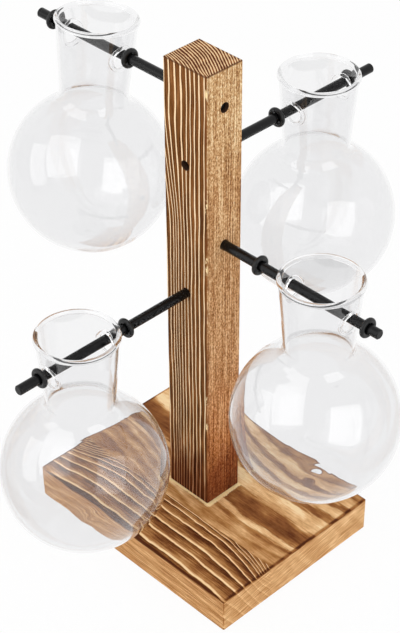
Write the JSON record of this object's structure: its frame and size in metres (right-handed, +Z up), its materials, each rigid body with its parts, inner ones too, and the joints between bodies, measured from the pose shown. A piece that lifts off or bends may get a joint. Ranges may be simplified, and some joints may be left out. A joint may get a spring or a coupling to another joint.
{
  "type": "propagation vase",
  "caption": "Hanging propagation vase: scorched wooden post on a board, with black rods that each carry a blown glass flask between rubber rings.",
  "frame": {"origin": "centre of the board's underside", "axes": "+Z up along the post; +X along the board's length, towards the lower right flask; +Y along its depth, towards the upper right flask"},
  "size_m": [0.2103, 0.2205, 0.25],
  "materials": {
    "scorched_pine": "scorched, brushed",
    "black_rod": "satin black",
    "black_rubber": "matt",
    "clear_glass": "clear, blown",
    "screw_steel": "plain steel"
  },
  "bodies": {
    "stand": {"base_board": "scorched_pine", "post": "scorched_pine", "post_screws": "screw_steel"},
    "upper_left_rod": {"rod_upper_left": "black_rod"},
    "upper_left_flask": {"flask_upper_left": "clear_glass"},
    "upper_left_inner_ring": {"ring_upper_left_inner": "black_rubber"},
    "upper_left_outer_ring": {"ring_upper_left_outer": "black_rubber"},
    "upper_right_rod": {"rod_upper_right": "black_rod"},
    "upper_right_flask": {"flask_upper_right": "clear_glass"},
    "upper_right_inner_ring": {"ring_upper_right_inner": "black_rubber"},
    "upper_right_outer_ring": {"ring_upper_right_outer": "black_rubber"},
    "lower_right_rod": {"rod_lower_right": "black_rod"},
    "lower_right_flask": {"flask_lower_right": "clear_glass"},
    "lower_right_inner_ring": {"ring_lower_right_inner": "black_rubber"},
    "lower_right_outer_ring": {"ring_lower_right_outer": "black_rubber"},
    "lower_left_rod": {"rod_lower_left": "black_rod"},
    "lower_left_flask": {"flask_lower_left": "clear_glass"},
    "lower_left_inner_ring": {"ring_lower_left_inner": "black_rubber"},
    "lower_left_outer_ring": {"ring_lower_left_outer": "black_rubber"}
  },
  "joints": [
    {"name": "upper_left_rod_slide", "type": "slide", "parent": "stand", "child": "upper_left_rod", "axis": [-1, 0, 0], "range_m": [0, 0.027]},
    {"name": "upper_left_flask_swing", "type": "hinge", "parent": "upper_left_rod", "child": "upper_left_flask", "pos_m": [-0.0658, 0.002, 0.232], "axis": [-1, 0, 0], "range_deg": [-40, 40]},
    {"name": "upper_left_inner_ring_slide", "type": "slide", "parent": "upper_left_rod", "child": "upper_left_inner_ring", "axis": [-1, 0, 0], "range_m": [-0.03, 0.0017]},
    {"name": "upper_left_outer_ring_slide", "type": "slide", "parent": "upper_left_rod", "child": "upper_left_outer_ring", "axis": [-1, 0, 0], "range_m": [-0.0076, 0.013]},
    {"name": "upper_right_rod_slide", "type": "slide", "parent": "stand", "child": "upper_right_rod", "axis": [0, 1, 0], "range_m": [0, 0.021]},
    {"name": "upper_right_flask_swing", "type": "hinge", "parent": "upper_right_rod", "child": "upper_right_flask", "pos_m": [0, 0.0734, 0.203], "axis": [0, 1, 0], "range_deg": [-40, 40]},
    {"name": "upper_right_inner_ring_slide", "type": "slide", "parent": "upper_right_rod", "child": "upper_right_inner_ring", "axis": [0, 1, 0], "range_m": [-0.0326, 0.007]},
    {"name": "upper_right_outer_ring_slide", "type": "slide", "parent": "upper_right_rod", "child": "upper_right_outer_ring", "axis": [0, 1, 0], "range_m": [-0.0005, 0.018]},
    {"name": "lower_right_rod_slide", "type": "slide", "parent": "stand", "child": "lower_right_rod", "axis": [1, 0, 0], "range_m": [0, 0.028]},
    {"name": "lower_right_flask_swing", "type": "hinge", "parent": "lower_right_rod", "child": "lower_right_flask", "pos_m": [0.0691, 0.002, 0.164], "axis": [1, 0, 0], "range_deg": [-40, 40]},
    {"name": "lower_right_inner_ring_slide", "type": "slide", "parent": "lower_right_rod", "child": "lower_right_inner_ring", "axis": [1, 0, 0], "range_m": [-0.0198, 0.0152]},
    {"name": "lower_right_outer_ring_slide", "type": "slide", "parent": "lower_right_rod", "child": "lower_right_outer_ring", "axis": [1, 0, 0], "range_m": [-0.0059, 0.01]},
    {"name": "lower_left_rod_slide", "type": "slide", "parent": "stand", "child": "lower_left_rod", "axis": [0, -1, 0], "range_m": [0, 0.02]},
    {"name": "lower_left_flask_swing", "type": "hinge", "parent": "lower_left_rod", "child": "lower_left_flask", "pos_m": [0, -0.0717, 0.137], "axis": [0, -1, 0], "range_deg": [-40, 40]},
    {"name": "lower_left_inner_ring_slide", "type": "slide", "parent": "lower_left_rod", "child": "lower_left_inner_ring", "axis": [0, -1, 0], "range_m": [-0.0344, 0.0075]},
    {"name": "lower_left_outer_ring_slide", "type": "slide", "parent": "lower_left_rod", "child": "lower_left_outer_ring", "axis": [0, -1, 0], "range_m": [-0.0014, 0.015]}
  ]
}
